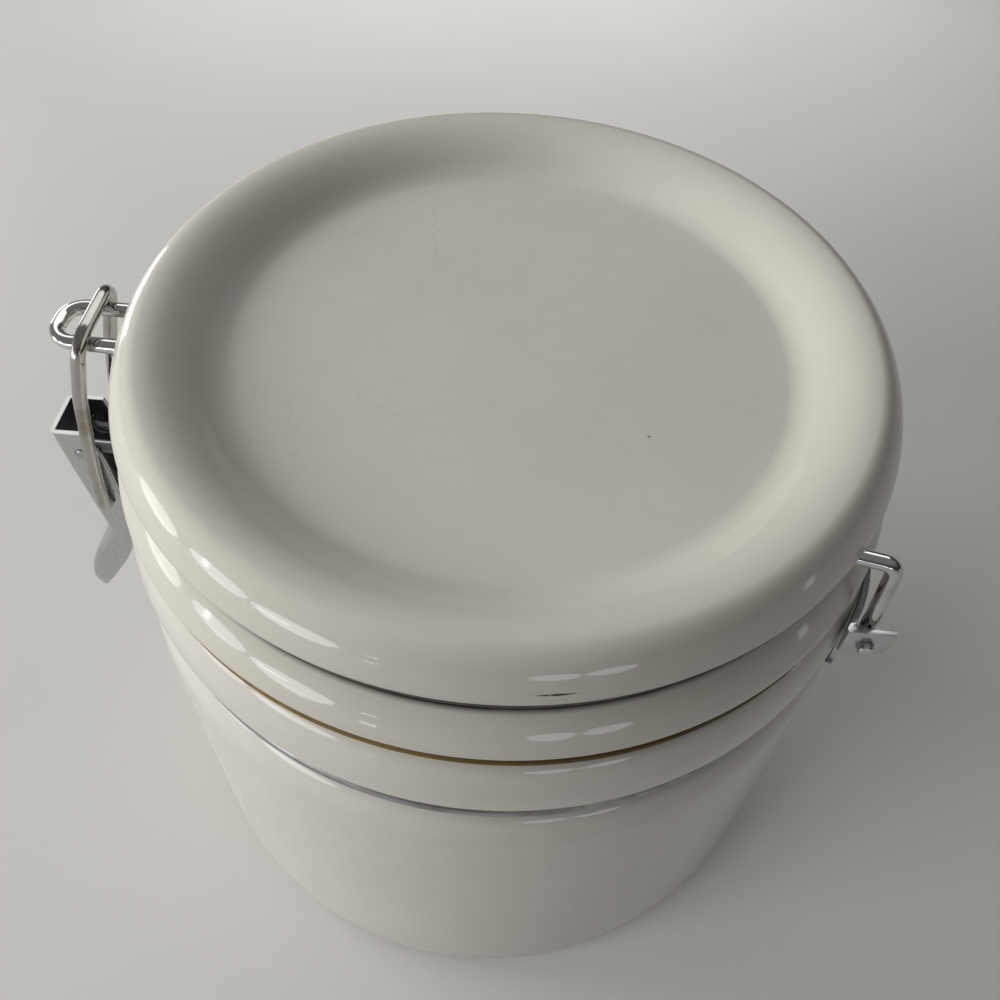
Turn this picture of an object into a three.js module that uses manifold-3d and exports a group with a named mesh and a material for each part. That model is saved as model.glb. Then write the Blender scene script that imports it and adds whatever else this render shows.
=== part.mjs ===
import * as THREE from 'three';
import { mergeVertices } from 'three/addons/utils/BufferGeometryUtils.js';
import Module from 'manifold-3d';

// Stoneware sugar canister with a wire-bail closure.
// Millimetres, +Z up, origin on the jar's axis in the plane it stands on.
// The latch is on -X, the hinge on +X.

const wasm = await Module();
wasm.setup();

// ---------- driving dimensions ----------
const GAP = 0.3;                 // running gap between pieces

const BODY_R = 62.5;             // jar wall, outside
const RIM_R = 61.9;              // bulge round the mouth, outside
const RIM_Z = 85.4;              // height of the widest part of that bulge
const MOUTH_R = 51;              // clear mouth
const JAR_TOP = 94.5;            // face the gasket sits on
const FLOOR_Z = 6;               // inside floor
const NECK_Z = 79;               // neck groove centre height
const NECK_R = 58.2;             // neck groove bottom

const SEAL_R = 60.6;             // gasket, outside
const SEAL_IN = 52.5;
const SEAL_Z0 = 94.8, SEAL_Z1 = 96.4;

const LID_Z0 = 96.7;             // underside of the lid flange
const FLANGE_R = 60.8;
const CREST_R = 54.0;            // crest circle of the lid's rim
const CREST_Z = 116.4;
const DOME_A = 5.6;              // the rim falls from its crest as a quarter of an ellipse, this far out
const DOME_B = 11.3;             // and this far down
const DISC_R = 42.0;             // sunk middle of the lid, where its slope begins
const DISC_Z = 110.6;
const PLUG_R = 46.4;
const PLUG_Z = 92.2;
const LIDWIRE_Z = 106.25;        // lid groove centre height
const LIDGROOVE_R = 54.85;

const WIRE = 1.2;                // wire radius, lid and neck wires
const BAIL_WIRE = 1.15;
const LIDWIRE_R = 56.4;          // centreline radius of the lid ring
const NECKWIRE_R = 59.8;         // centreline radius of the neck ring
const NOSE_Y = 4.1;              // half spacing of the nose's two sides
const NOSE_X = -71.3;            // end of the nose

const PIVOT_X = -74.1;           // lever pivot, on the neck wire's ends
const PIVOT_Z = NECK_Z;
const LEVER_HALF = 4.7;          // half width of the lever channel
const LEVER_T = 0.9;
const BAIL_HALF = 7.2;           // bail leg from the mid plane, at the top
const BAIL_LOW = 6.7;            // and at the lever
const BAIL_TOP_X = -65.1, BAIL_TOP_Z = 109.2;
const BAIL_PIN_X = -72.9, BAIL_PIN_Z = 66.4;

const HINGE_X = 57.0;            // lid hinge axis, parallel to Y
const HINGE_Z = 88.6;
const ARM_Y = 30.1;              // the two hinge arms of the lid wire
const EAR_IN = 31.6, EAR_OUT = 32.5;
const STRIP_IN = 62.15, STRIP_OUT = 63.0;   // hinge plate round the neck

const SEG = 56;                  // facets round the ceramics

// ---------- helpers ----------
const rad = (d) => d * Math.PI / 180;

function toManifold(geometry) {
  const g = geometry.clone();
  g.deleteAttribute('normal');
  if (g.attributes.uv) g.deleteAttribute('uv');
  const m = mergeVertices(g, 1e-4);
  const p = m.attributes.position;
  const ix = m.index.array;
  const tri = [];
  for (let i = 0; i < ix.length; i += 3) {
    const a = ix[i], b = ix[i + 1], c = ix[i + 2];
    if (a !== b && b !== c && c !== a) tri.push(a, b, c);
  }
  // faces must point out of the solid
  let vol = 0;
  for (let i = 0; i < tri.length; i += 3) {
    const [a, b, c] = [tri[i], tri[i + 1], tri[i + 2]];
    vol += p.getX(a) * (p.getY(b) * p.getZ(c) - p.getZ(b) * p.getY(c))
      - p.getY(a) * (p.getX(b) * p.getZ(c) - p.getZ(b) * p.getX(c))
      + p.getZ(a) * (p.getX(b) * p.getY(c) - p.getY(b) * p.getX(c));
  }
  if (vol < 0) for (let i = 0; i < tri.length; i += 3) [tri[i + 1], tri[i + 2]] = [tri[i + 2], tri[i + 1]];
  return new wasm.Manifold(new wasm.Mesh({
    numProp: 3,
    vertProperties: new Float32Array(p.array),
    triVerts: new Uint32Array(tri),
  }));
}

function toGeometry(manifold) {
  const mesh = manifold.getMesh();
  const g = new THREE.BufferGeometry();
  const n = mesh.vertProperties.length / mesh.numProp;
  const pos = new Float32Array(n * 3);
  for (let i = 0; i < n; i++) {
    pos[3 * i] = mesh.vertProperties[i * mesh.numProp];
    pos[3 * i + 1] = mesh.vertProperties[i * mesh.numProp + 1];
    pos[3 * i + 2] = mesh.vertProperties[i * mesh.numProp + 2];
  }
  g.setAttribute('position', new THREE.BufferAttribute(pos, 3));
  g.setIndex(new THREE.BufferAttribute(new Uint32Array(mesh.triVerts), 1));
  g.computeVertexNormals();
  return g;
}

// a body of revolution about +Z from [r, z] pairs
function turned(profile, segments = SEG, phase = 0) {
  const g = new THREE.LatheGeometry(profile.map(([r, z]) => new THREE.Vector2(r, z)), segments);
  g.rotateX(Math.PI / 2);
  if (phase) g.rotateZ(phase);
  return g;
}

// a curve through given points, sampled exactly at them
class PointCurve extends THREE.Curve {
  constructor(points) { super(); this.points = points; }
  getPoint(t, target = new THREE.Vector3()) {
    const n = this.points.length - 1;
    const f = Math.min(Math.max(t, 0), 1) * n;
    const i = Math.min(Math.floor(f), n - 1);
    return target.copy(this.points[i]).lerp(this.points[i + 1], f - i);
  }
  getPointAt(u, target) { return this.getPoint(u, target); }
  getSpacedPoints(divisions) {
    const out = [];
    for (let i = 0; i <= divisions; i++) out.push(this.getPoint(i / divisions));
    return out;
  }
  getTangent(t, target = new THREE.Vector3()) {
    const n = this.points.length - 1;
    const i = Math.round(t * n);
    const a = this.points[Math.max(i - 1, 0)], b = this.points[i], c = this.points[Math.min(i + 1, n)];
    const d1 = b.clone().sub(a), d2 = c.clone().sub(b);
    if (d1.lengthSq() > 0) d1.normalize();
    if (d2.lengthSq() > 0) d2.normalize();
    return target.copy(d1).add(d2).normalize();
  }
  getTangentAt(u, target) { return this.getTangent(u, target); }
}

// rounds the corners of a path: [x, y, z, bendRadius]
function bend(corners, stepDeg = 22.5) {
  const P = corners.map((c) => new THREE.Vector3(c[0], c[1], c[2]));
  const out = [P[0].clone()];
  for (let i = 1; i < P.length - 1; i++) {
    const r = corners[i][3] || 0;
    const u = P[i - 1].clone().sub(P[i]).normalize();
    const v = P[i + 1].clone().sub(P[i]).normalize();
    const ang = Math.PI - u.angleTo(v);
    if (!r || ang < 1e-3) { out.push(P[i].clone()); continue; }
    const t = r * Math.tan(ang / 2);
    const bis = u.clone().add(v).normalize();
    const centre = P[i].clone().addScaledVector(bis, r / Math.cos(ang / 2));
    const a = P[i].clone().addScaledVector(u, t).sub(centre);
    const axis = a.clone().cross(P[i].clone().addScaledVector(v, t).sub(centre)).normalize();
    const n = Math.max(2, Math.round(THREE.MathUtils.radToDeg(ang) / stepDeg));
    for (let k = 0; k <= n; k++) out.push(a.clone().applyAxisAngle(axis, ang * k / n).add(centre));
  }
  out.push(P[P.length - 1].clone());
  return out;
}

function arcPoints(r, z, a0, a1, stepDeg) {
  const n = Math.max(2, Math.round(Math.abs(a1 - a0) / stepDeg));
  const out = [];
  for (let i = 0; i <= n; i++) {
    const a = rad(a0 + (a1 - a0) * i / n);
    out.push(new THREE.Vector3(r * Math.cos(a), r * Math.sin(a), z));
  }
  return out;
}

// round wire along a path
function wire(points, radius, sides = 8) {
  const clean = [points[0]];
  for (const p of points) if (p.distanceTo(clean[clean.length - 1]) > 0.05) clean.push(p);
  const s = new THREE.Shape();
  for (let i = 0; i <= sides; i++) {
    const a = 2 * Math.PI * (i % sides) / sides;
    const x = radius * Math.cos(a), y = radius * Math.sin(a);
    if (i === 0) s.moveTo(x, y); else s.lineTo(x, y);
  }
  return new THREE.ExtrudeGeometry(s, {
    steps: clean.length - 1, bevelEnabled: false, extrudePath: new PointCurve(clean), curveSegments: 1,
  });
}

// a plate outline [x, z] pushed through in Y from y0 to y1
function plateXZ(outline, y0, y1) {
  const s = new THREE.Shape(outline.map(([x, z]) => new THREE.Vector2(x, z)));
  const g = new THREE.ExtrudeGeometry(s, { depth: y1 - y0, bevelEnabled: false });
  g.rotateX(Math.PI / 2);          // (x, y, d) -> (x, -d, y)
  g.translate(0, y1, 0);
  return g;
}

// a plan outline [x, y] raised from z0 to z1
function plateXY(outline, z0, z1) {
  const s = new THREE.Shape(outline.map(([x, y]) => new THREE.Vector2(x, y)));
  const g = new THREE.ExtrudeGeometry(s, { depth: z1 - z0, bevelEnabled: false });
  g.translate(0, 0, z0);
  return g;
}

function box(x0, x1, y0, y1, z0, z1) {
  const g = new THREE.BoxGeometry(x1 - x0, y1 - y0, z1 - z0);
  g.translate((x0 + x1) / 2, (y0 + y1) / 2, (z0 + z1) / 2);
  return g;
}

// a hole along Y
function crossHole(x, z, r, y0, y1, sides = 16) {
  const g = new THREE.CylinderGeometry(r, r, y1 - y0, sides);
  g.rotateY(Math.PI / sides);
  g.translate(x, (y0 + y1) / 2, z);
  return g;
}

const group = new THREE.Group();
group.name = 'sugar_canister';

function piece(name, manifold, color, roughness, metalness) {
  const mesh = new THREE.Mesh(toGeometry(manifold), new THREE.MeshStandardMaterial({ color, roughness, metalness }));
  mesh.name = name;
  group.add(mesh);
  return mesh;
}

// ---------- jar ----------
const jarProfile = [
  [0, 0], [57.4, 0], [59.7, 0.6], [61.3, 2.0], [62.2, 4.0], [BODY_R, 6.4],
  [BODY_R, 37], [BODY_R, 67.5], [62.4, 70.3], [62.1, 72.4], [61.5, 74.2], [60.6, 75.7],
  [59.4, 76.9], [58.5, 77.4], [NECK_R, 78.0], [NECK_R, 80.1], [58.8, 80.55], [60.2, 80.9],
  [61.2, 81.7], [61.7, 83.0], [RIM_R, RIM_Z], [61.85, 87.4], [61.5, 89.6], [60.8, 91.7], [59.6, 93.4],
  [58.0, 94.3], [56.4, JAR_TOP],
  [53.0, JAR_TOP], [51.6, 93.9], [MOUTH_R, 92.5], [MOUTH_R, 84], [52.4, 80], [55.2, 74.5],
  [57.0, 69.5], [57.5, 63], [57.5, 15], [56.2, 10.2], [52.5, 7.2], [45, FLOOR_Z + 0.1], [0, FLOOR_Z],
];
piece('jar', toManifold(turned(jarProfile)), 0xd8d2c4, 0.16, 0.0);

// ---------- gasket ----------
const sealProfile = [
  [SEAL_IN, SEAL_Z0], [59.3, SEAL_Z0], [60.3, 95.1], [SEAL_R, 95.6], [60.3, 96.1], [59.3, SEAL_Z1],
  [SEAL_IN, SEAL_Z1], [SEAL_IN, SEAL_Z0],
];
piece('gasket', toManifold(turned(sealProfile)), 0x6b5526, 0.5, 0.0);

// ---------- lid ----------
const dome = [];                                     // lip to crest, then down the slope to the disc
for (const a of [25, 35, 45, 55, 66, 78, 90]) dome.push([CREST_R + DOME_A * Math.cos(rad(a)), CREST_Z - DOME_B + DOME_B * Math.sin(rad(a))]);
for (const t of [0.9, 0.79, 0.68, 0.56, 0.45, 0.35, 0.26, 0.17, 0.08]) dome.push([DISC_R + (CREST_R - DISC_R) * t, DISC_Z + (CREST_Z - DISC_Z) * (t > 0.35 ? 1 - (1 - t) ** 2 / 0.65 : t * t / 0.35)]);
const lidProfile = [
  [0, 104.2], [33, 104.0], [37.5, 102.9], [40.0, 100.6], [41.2, 97.5], [41.6, 93.4], [42.4, PLUG_Z],
  [45.2, PLUG_Z], [46.0, 93.0], [PLUG_R, LID_Z0], [59.4, LID_Z0], [60.3, 96.95], [60.7, 97.5],
  [FLANGE_R, 98.1], [60.5, 99.3], [59.9, 100.5], [59.1, 101.8], [58.3, 102.8], [57.5, 103.6], [56.9, 104.05], [56.45, 104.05],
  [56.05, 103.6], [55.4, 103.2], [LIDGROOVE_R, 103.9], [LIDGROOVE_R, 107.3], [55.3, 107.8], [57.2, 107.9], [58.1, 108.2], [58.6, 108.6], [58.85, 109.2],
  ...dome, [DISC_R, DISC_Z + 0.1], [DISC_R - 2, DISC_Z], [0, DISC_Z],
];
piece('lid', toManifold(turned(lidProfile)), 0xd3cdbf, 0.14, 0.0);

// ---------- lid wire: nose, ring in the lid groove, two hinge arms with turned-out ends ----------
{
  const half = [];                                   // the -Y half, hinge end first
  const armTop = bend([
    [HINGE_X, -33.5, HINGE_Z],
    [HINGE_X, -ARM_Y, HINGE_Z, 1.5],
    [HINGE_X, -ARM_Y, 93.5, 16],
    [56.0, -ARM_Y, LIDWIRE_Z, 2.2],
    [49.6, -29.0, LIDWIRE_Z, 3.0],
    [LIDWIRE_R * Math.cos(rad(-35)), LIDWIRE_R * Math.sin(rad(-35)), LIDWIRE_Z],
  ]);
  half.push(...armTop);
  half.push(...arcPoints(LIDWIRE_R, LIDWIRE_Z, -38, -170, 6));
  const noseIn = Math.sqrt(LIDWIRE_R ** 2 - NOSE_Y ** 2);
  half.push(...bend([
    [LIDWIRE_R * Math.cos(rad(-172)), LIDWIRE_R * Math.sin(rad(-172)), LIDWIRE_Z],
    [-noseIn - 0.1, -NOSE_Y, LIDWIRE_Z, 2.4],
    [NOSE_X, -NOSE_Y, LIDWIRE_Z, 3.4],
    [NOSE_X, 0, LIDWIRE_Z],
  ]));
  const other = half.slice(0, -1).reverse().map((p) => new THREE.Vector3(p.x, -p.y, p.z));
  piece('lid_wire', toManifold(wire([...half, ...other], WIRE)), 0x9a9a96, 0.2, 1.0);
}

// ---------- neck wire: ring in the neck groove, ends turned out as the lever pivot ----------
{
  const end = (s) => bend([
    [NECKWIRE_R * Math.cos(rad(171)), s * NECKWIRE_R * Math.sin(rad(171)), NECK_Z],
    [-59.85, s * 2.3, NECK_Z, 2.4],
    [PIVOT_X, s * 2.3, PIVOT_Z, 1.35],
    [PIVOT_X, s * 5.0, PIVOT_Z],
  ]);
  const lower = end(-1).reverse();                   // free end first
  const upper = end(1);
  const ring = arcPoints(NECKWIRE_R, NECK_Z, -168, 168, 6);
  piece('neck_wire', toManifold(wire([...lower, ...ring, ...upper], WIRE)), 0x8f8f8c, 0.25, 1.0);
}

// ---------- bail: square-shouldered loop over the nose, legs down both sides of the lever ----------
{
  const leg = (s) => [
    [BAIL_PIN_X, s * 5.0, BAIL_PIN_Z],
    [BAIL_PIN_X, s * BAIL_LOW, BAIL_PIN_Z, 1.4],
    [-72.1, s * BAIL_LOW, 75.0, 12],
    [-70.3, s * 6.95, 86.4, 14],
    [-68.3, s * BAIL_HALF, 97.0, 14],
    [BAIL_TOP_X + 0.1, s * BAIL_HALF, BAIL_TOP_Z, 3.9],
  ];
  const pts = bend([...leg(-1), ...leg(1).reverse()]);
  piece('bail', toManifold(wire(pts, BAIL_WIRE)), 0x8a8880, 0.25, 1.0);
}

// ---------- lever: pressed channel, open towards the jar, with a flared thumb tab ----------
{
  const outer = [
    [-78.7, 84.0], [-77.9, 75.0], [-76.9, 65.5], [-75.8, 56.0], [-76.4, 54.0], [-79.0, 50.0],
    [-81.6, 46.0], [-83.4, 41.8], [-84.6, 37.6], [-85.1, 33.4], [-84.7, 31.8], [-83.8, 31.3],
    [-82.9, 32.3], [-80.3, 36.8], [-77.6, 41.2], [-75.0, 45.6], [-72.7, 50.0], [-71.6, 53.5],
    [-70.9, 59.0], [-70.5, 66.0], [-70.6, 75.0], [-71.2, 80.0], [-72.0, 84.3],
  ];
  const inner = [
    [-77.8, 90.0], [-77.75, 84.0], [-77.0, 75.0], [-76.0, 65.5], [-74.85, 56.2], [-75.5, 53.6],
    [-78.2, 49.5], [-80.7, 45.6], [-82.4, 41.6], [-83.5, 37.6], [-83.9, 34.2], [-82.9, 33.6],
    [-76.0, 33.6], [-60.0, 48.0], [-60.0, 90.0],
  ];
  let m = toManifold(plateXZ(outer, -LEVER_HALF, LEVER_HALF));
  m = m.subtract(toManifold(plateXZ(inner, -LEVER_HALF + LEVER_T, LEVER_HALF - LEVER_T)));
  m = m.subtract(toManifold(crossHole(PIVOT_X, PIVOT_Z, WIRE + 0.1, -6, 6)));
  m = m.subtract(toManifold(crossHole(BAIL_PIN_X, BAIL_PIN_Z, BAIL_WIRE + 0.15, -6, 6)));
  piece('lever', m, 0x8c9090, 0.3, 1.0);
}

// ---------- hinge plate: strip round the back of the neck, ears for the lid wire, feet under the neck wire ----------
{
  const A = 27.8;                                    // where the strip leaves the circle
  const tip = (r) => {                               // straight run-out, tangent at A, to y
    const x0 = r * Math.cos(rad(A)), y0 = r * Math.sin(rad(A));
    return (y) => [x0 - (y - y0) * Math.tan(rad(A)), y];
  };
  const inTip = tip(STRIP_IN), outTip = tip(STRIP_OUT);
  const plan = [];
  const N = 8;
  const half = [];                                   // outside edge then ear, +Y side
  for (let i = 0; i <= N; i++) half.push([STRIP_OUT * Math.cos(rad(A * i / N)), STRIP_OUT * Math.sin(rad(A * i / N))]);
  half.push(outTip(EAR_IN - 0.5), [outTip(EAR_IN)[0] + 0.5, EAR_IN], [60.6, EAR_IN], [60.6, EAR_OUT]);
  const back = [[inTip(EAR_OUT)[0] + 0.5, EAR_OUT], inTip(EAR_OUT - 0.5)];
  for (let i = N; i >= 0; i--) back.push([STRIP_IN * Math.cos(rad(A * i / N)), STRIP_IN * Math.sin(rad(A * i / N))]);
  const up = [...half, ...back];                     // starts and ends on y = 0
  const mirrored = up.slice(1, -1).reverse().map(([x, y]) => [x, -y]);
  plan.push(...up, ...mirrored);
  let m = toManifold(plateXY(plan, 76.4, 92.2));
  const cut = (x0, x1, y0, y1, z0, z1) => { m = m.subtract(toManifold(box(x0, x1, y0, y1, z0, z1))); };
  // upper edge falls from the ears to the middle, clear of the lid's edge as it swings over
  m = m.subtract(toManifold(rotatedPrism([[-31.0, 92.3], [-29, 90.5], [-15, 85], [-10.5, 82.7], [10.5, 82.7], [15, 85], [29, 90.5], [31.0, 92.3]])));
  for (const s of [-1, 1]) {
    const y = (a, b) => s < 0 ? [-b, -a] : [a, b];
    const [a0, a1] = y(15.5, 25.8);
    cut(40, 70, a0, a1, 70, 79.8);
    const [b0, b1] = y(28.6, 40);
    cut(40, 70, b0, b1, 70, 86.6);
    // rounded lower corner of the ear
    m = m.subtract(toManifold(plateXZ([[62, 85], [62, 89.4], [60.6, 89.4], [60.3, 88.1], [59.6, 87.2], [58.4, 86.6], [58.4, 85]], ...y(31.3, 34))));
  }
  cut(40, 70, -15.6, 15.6, 70, 78.2);
  // feet: bent in under the neck wire
  for (const s of [-1, 1]) {
    const mid = rad(s * 26.6), w = 1.4;
    const dir = [Math.cos(mid), Math.sin(mid)], tan = [-Math.sin(mid), Math.cos(mid)];
    const q = (r, t) => [r * dir[0] + t * tan[0], r * dir[1] + t * tan[1]];
    let o = [q(60.6, -w), q(63.0, -w), q(63.0, w), q(60.6, w)];
    m = m.add(toManifold(plateXY(o, 76.4, 77.2)));
  }
  for (const s of [-1, 1]) m = m.subtract(toManifold(crossHole(HINGE_X, HINGE_Z, WIRE + 0.1, ...(s < 0 ? [-36, -31.3] : [31.3, 36]))));
  piece('hinge_plate', m, 0x949698, 0.28, 1.0);
}

// a prism along X from a [y, z] outline
function rotatedPrism(outline) {
  const s = new THREE.Shape(outline.map(([y, z]) => new THREE.Vector2(y, z)));
  const g = new THREE.ExtrudeGeometry(s, { depth: 40, bevelEnabled: false });
  g.rotateX(Math.PI / 2);
  g.rotateZ(Math.PI / 2);
  g.translate(40, 0, 0);
  return g;
}

export default group;
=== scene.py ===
import math

import bpy
from mathutils import Matrix, Vector


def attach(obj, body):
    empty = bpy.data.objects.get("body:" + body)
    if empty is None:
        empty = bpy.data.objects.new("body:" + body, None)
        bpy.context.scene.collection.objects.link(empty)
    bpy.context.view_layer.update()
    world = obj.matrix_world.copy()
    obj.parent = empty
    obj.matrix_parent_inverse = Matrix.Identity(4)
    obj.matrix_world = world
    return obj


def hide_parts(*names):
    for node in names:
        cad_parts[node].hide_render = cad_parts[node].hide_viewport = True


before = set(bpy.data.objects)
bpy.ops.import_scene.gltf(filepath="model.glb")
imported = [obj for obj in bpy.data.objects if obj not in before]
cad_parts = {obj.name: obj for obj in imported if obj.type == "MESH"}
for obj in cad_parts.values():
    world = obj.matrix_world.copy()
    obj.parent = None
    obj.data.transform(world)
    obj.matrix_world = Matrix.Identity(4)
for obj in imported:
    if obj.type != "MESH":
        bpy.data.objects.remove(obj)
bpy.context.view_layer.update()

MM = 0.001

# ------------------------------------------------------------------ mesh helpers


def make(name, verts, faces, body, node, material, sharp=None):
    """A piece from vertices in millimetres, standing for one node of the frame."""
    me = bpy.data.meshes.new(name)
    me.from_pydata([(x * MM, y * MM, z * MM) for x, y, z in verts], [], faces)
    me.validate()
    me.update()
    for p in me.polygons:
        p.use_smooth = True
    if sharp is not None:
        me.set_sharp_from_angle(angle=math.radians(sharp))
    o = bpy.data.objects.new(name, me)
    bpy.context.scene.collection.objects.link(o)
    me.materials.append(material)
    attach(o, body)
    if node:
        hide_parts(node)
    return o


def spline(points, sub=6):
    """A smooth curve through [r, z] points, centripetal, with its ends."""
    P = [Vector(p) for p in points]
    if len(P) < 3:
        return [tuple(p) for p in P]
    P = [P[0] * 2 - P[1]] + P + [P[-1] * 2 - P[-2]]
    out = []
    for i in range(1, len(P) - 2):
        p0, p1, p2, p3 = P[i - 1], P[i], P[i + 1], P[i + 2]
        t0 = 0.0
        t1 = t0 + max((p1 - p0).length, 1e-6) ** 0.5
        t2 = t1 + max((p2 - p1).length, 1e-6) ** 0.5
        t3 = t2 + max((p3 - p2).length, 1e-6) ** 0.5
        for k in range(sub):
            t = t1 + (t2 - t1) * k / sub
            a1 = p0 * ((t1 - t) / (t1 - t0)) + p1 * ((t - t0) / (t1 - t0))
            a2 = p1 * ((t2 - t) / (t2 - t1)) + p2 * ((t - t1) / (t2 - t1))
            a3 = p2 * ((t3 - t) / (t3 - t2)) + p3 * ((t - t2) / (t3 - t2))
            b1 = a1 * ((t2 - t) / (t2 - t0)) + a2 * ((t - t0) / (t2 - t0))
            b2 = a2 * ((t3 - t) / (t3 - t1)) + a3 * ((t - t1) / (t3 - t1))
            out.append(tuple(b1 * ((t2 - t) / (t2 - t1)) + b2 * ((t - t1) / (t2 - t1))))
    out.append(tuple(P[-2]))
    return out


def chain(*runs):
    """Joins runs of points that share their end points."""
    out = []
    for run in runs:
        for p in run:
            if not out or (Vector(out[-1]) - Vector(p)).length > 1e-5:
                out.append(tuple(p))
    return out


def arc(cr, cz, rad, a0, a1, n):
    return [(cr + rad * math.cos(math.radians(a0 + (a1 - a0) * i / n)),
             cz + rad * math.sin(math.radians(a0 + (a1 - a0) * i / n))) for i in range(n + 1)]


def lathe(profile, n=256, wobble=None):
    """Vertices and faces of a body of revolution; the profile closes on itself or on the axis."""
    verts, faces, rows = [], [], []
    closed = (Vector(profile[0]) - Vector(profile[-1])).length < 1e-6
    pts = profile[:-1] if closed else profile
    for r, z in pts:
        if r < 1e-6:
            rows.append([len(verts)])
            verts.append((0.0, 0.0, z))
        else:
            row = []
            for k in range(n):
                a = 2 * math.pi * k / n
                rr, zz = wobble(r, z, a) if wobble else (r, z)
                row.append(len(verts))
                verts.append((rr * math.cos(a), rr * math.sin(a), zz))
            rows.append(row)
    m = len(rows)
    for i in range(m if closed else m - 1):
        a, b = rows[i], rows[(i + 1) % m]
        for k in range(n):
            k2 = (k + 1) % n
            if len(a) == 1 and len(b) == 1:
                continue
            if len(a) == 1:
                faces.append((a[0], b[k], b[k2]))
            elif len(b) == 1:
                faces.append((a[k], b[0], a[k2]))
            else:
                faces.append((a[k], b[k], b[k2], a[k2]))
    # outward faces
    vol = 0.0
    for f in faces:
        a = Vector(verts[f[0]])
        for j in range(1, len(f) - 1):
            vol += a.dot(Vector(verts[f[j]]).cross(Vector(verts[f[j + 1]])))
    if vol < 0:
        faces = [tuple(reversed(f)) for f in faces]
    return verts, faces


# ------------------------------------------------------------------ camera

def set_camera():
    cam = bpy.data.cameras.new("camera")
    cam.lens = 36.0
    cam.sensor_width = 36.0
    cam.clip_start, cam.clip_end = 0.01, 20.0
    o = bpy.data.objects.new("camera", cam)
    bpy.context.scene.collection.objects.link(o)
    back = Vector((0.0352, -0.6113, 0.7906)).normalized()
    up = Vector((-0.1053, 0.7844, 0.6112))
    up = (up - back * up.dot(back)).normalized()
    right = up.cross(back).normalized()
    m = Matrix((right, up, back)).transposed().to_4x4()
    m.translation = Vector((0.00635, -0.11145, 0.21664))
    o.matrix_world = m
    bpy.context.scene.camera = o


set_camera()

# ------------------------------------------------------------------ swept wire


def bend(corners, step=7.0):
    """Rounds the corners of a path of [x, y, z, radius] points."""
    P = [Vector(c[:3]) for c in corners]
    out = [P[0].copy()]
    for i in range(1, len(P) - 1):
        r = corners[i][3] if len(corners[i]) > 3 else 0.0
        u = (P[i - 1] - P[i]).normalized()
        v = (P[i + 1] - P[i]).normalized()
        ang = math.pi - u.angle(v)
        if r == 0.0 or ang < 1e-3:
            out.append(P[i].copy())
            continue
        t = r * math.tan(ang / 2)
        bis = (u + v).normalized()
        centre = P[i] + bis * (r / math.cos(ang / 2))
        a = P[i] + u * t - centre
        b = P[i] + v * t - centre
        axis = a.cross(b).normalized()
        n = max(2, round(math.degrees(ang) / step))
        for k in range(n + 1):
            out.append(Matrix.Rotation(ang * k / n, 3, axis) @ a + centre)
    out.append(P[-1].copy())
    return out


def ring(r, z, a0, a1, step=2.0):
    n = max(2, round(abs(a1 - a0) / step))
    return [Vector((r * math.cos(math.radians(a0 + (a1 - a0) * i / n)),
                    r * math.sin(math.radians(a0 + (a1 - a0) * i / n)), z)) for i in range(n + 1)]


def sweep(points, radius, sides=28, round_end=0.35):
    """Round wire along a path, its two ends eased."""
    P = [points[0]]
    for p in points:
        if (p - P[-1]).length > 0.04:
            P.append(p)
    T = []
    for i in range(len(P)):
        a = (P[i] - P[i - 1]).normalized() if i else Vector((0, 0, 0))
        b = (P[i + 1] - P[i]).normalized() if i < len(P) - 1 else Vector((0, 0, 0))
        T.append((a + b).normalized())
    n = T[0].orthogonal().normalized()
    frames = []
    for i, t in enumerate(T):
        n = (n - t * n.dot(t)).normalized()
        frames.append((P[i], n.copy(), t.cross(n), t, radius))
    p, n0, b0, t0, _ = frames[0]
    e = round_end
    head = [(p, n0, b0, t0, radius - e), (p + t0 * e * 0.3, n0, b0, t0, radius - e * 0.3)]
    p, n1, b1, t1, _ = frames[-1]
    tail = [(p - t1 * e * 0.3, n1, b1, t1, radius - e * 0.3), (p, n1, b1, t1, radius - e)]
    frames[0] = (frames[0][0] + t0 * e, n0, b0, t0, radius)
    frames[-1] = (frames[-1][0] - t1 * e, n1, b1, t1, radius)
    rows = head + frames + tail
    verts, faces = [], []
    for p, a, b, t, r in rows:
        for k in range(sides):
            w = 2 * math.pi * k / sides
            verts.append(tuple(p + a * (r * math.cos(w)) + b * (r * math.sin(w))))
    for i in range(len(rows) - 1):
        for k in range(sides):
            k2 = (k + 1) % sides
            faces.append((i * sides + k, i * sides + k2, (i + 1) * sides + k2, (i + 1) * sides + k))
    verts.append(tuple(rows[0][0]))
    verts.append(tuple(rows[-1][0]))
    c0, c1, last = len(verts) - 2, len(verts) - 1, (len(rows) - 1) * sides
    for k in range(sides):
        k2 = (k + 1) % sides
        faces.append((c0, k2, k))
        faces.append((c1, last + k, last + k2))
    return verts, faces


# ------------------------------------------------------------------ material helpers


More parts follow.
